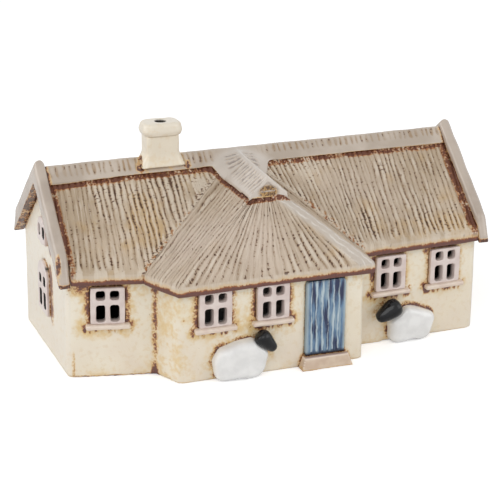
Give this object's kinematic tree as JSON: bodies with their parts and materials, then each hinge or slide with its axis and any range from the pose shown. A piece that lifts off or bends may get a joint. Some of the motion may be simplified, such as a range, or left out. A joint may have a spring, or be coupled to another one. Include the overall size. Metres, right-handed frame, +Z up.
{
  "type": "pottery model croft house",
  "caption": "Hollow glazed pottery model of a thatched croft house with a hipped bay, pierced windows and an open back, used as a tea-light lantern.",
  "frame": {"origin": "on the table under the middle of the main ridge, in the plane of the flat foot", "axes": "+X along the ridge from left to right as seen from the front, -Y towards the door, +Z up"},
  "size_m": [0.198, 0.1106, 0.0998],
  "materials": {
    "ivory_wall": "cream glaze over pale clay, with an iron-brown wash in the joints",
    "thatch": "taupe glaze over combed clay, with brown wash in the grooves",
    "ridge": "grey-taupe glaze with a dark brown lower edge",
    "window_frame": "pinkish taupe glaze with brown wash round the edges",
    "sill": "peach glaze",
    "blue_door": "streaky cobalt blue glaze",
    "step": "pink-mauve glaze",
    "fleece": "white gloss glaze",
    "sheep_face": "black gloss glaze",
    "bare_base": "thin cream glaze on the floor, bare clay below"
  },
  "bodies": {
    "root": {"left_gable_wall": "ivory_wall", "front_wall_left": "ivory_wall", "bay_cheek_left": "ivory_wall", "bay_front_wall": "ivory_wall", "bay_cheek_right": "ivory_wall", "front_wall_right": "ivory_wall", "right_gable_wall": "ivory_wall", "back_wall": "ivory_wall", "chimney_stack": "ivory_wall", "chimney_cap": "ivory_wall", "main_thatch_front_left": "thatch", "main_thatch_front_right": "thatch", "main_thatch_back": "thatch", "bay_thatch_left": "thatch", "bay_thatch_hip": "thatch", "bay_thatch_right": "thatch", "main_ridge_cap": "ridge", "bay_ridge_cap": "ridge", "left_coping_front": "ridge", "left_coping_back": "ridge", "right_coping_front": "ridge", "right_coping_back": "ridge", "left_window": "window_frame", "bay_left_window": "window_frame", "bay_right_window": "window_frame", "right_inner_window": "window_frame", "right_outer_window": "window_frame", "left_gable_lower_window": "window_frame", "left_gable_attic_window": "window_frame", "right_gable_lower_window": "window_frame", "right_gable_attic_window": "window_frame", "left_sill": "sill", "bay_left_sill": "sill", "bay_right_sill": "sill", "right_inner_sill": "sill", "right_outer_sill": "sill", "front_door": "blue_door", "doorstep": "step", "left_sheep_fleece": "fleece", "right_sheep_fleece": "fleece", "left_sheep_head": "sheep_face", "right_sheep_head": "sheep_face", "base_slab": "bare_base"}
  },
  "joints": []
}
